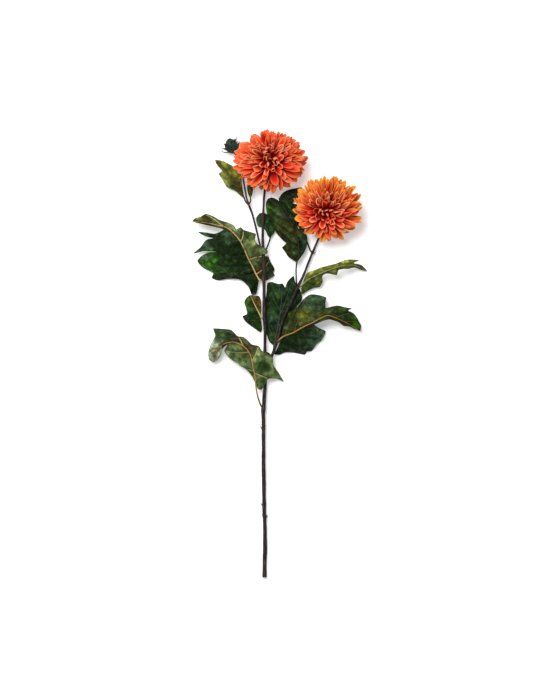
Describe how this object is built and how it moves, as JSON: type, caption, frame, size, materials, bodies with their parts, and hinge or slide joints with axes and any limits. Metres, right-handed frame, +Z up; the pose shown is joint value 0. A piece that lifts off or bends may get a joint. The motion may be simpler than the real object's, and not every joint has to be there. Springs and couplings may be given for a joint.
{
  "type": "chrysanthemum spray",
  "caption": "Cut chrysanthemum spray lying on a surface: double blooms, a closed bud and lobed leaves on one branched woody stem.",
  "frame": {"origin": "middle of the underside of the whole spray, on the surface that it lies on", "axes": "+X across the spray, +Y along the stem from its cut end towards the blooms, +Z up from the surface"},
  "size_m": [0.2714, 0.6914, 0.0752],
  "materials": {
    "stem_bark": "matte, woody",
    "leaf_dark": "satin leaf with paler veins",
    "leaf_olive": "satin leaf with paler veins",
    "petal_coral": "matte petal, deeper red at its root",
    "petal_amber": "matte petal, deeper red at its root",
    "calyx_green": "matte bracts",
    "bud_green": "matte bracts"
  },
  "bodies": {
    "root": {"stem": "stem_bark", "leaf_mid_left": "leaf_dark", "leaf_small_left": "leaf_dark", "leaf_low_left": "leaf_olive", "leaf_low_back": "leaf_dark", "leaf_low_right": "leaf_dark", "leaf_mid_right": "leaf_olive", "leaf_high_mid": "leaf_dark", "leaf_high_small": "leaf_dark", "leaf_behind_bloom": "leaf_dark", "leaf_high_left": "leaf_olive", "bract_high_left": "leaf_olive", "bloom_left": "petal_coral", "bloom_right": "petal_amber", "calyx_left": "calyx_green", "calyx_right": "calyx_green", "bud": "bud_green"}
  },
  "joints": []
}
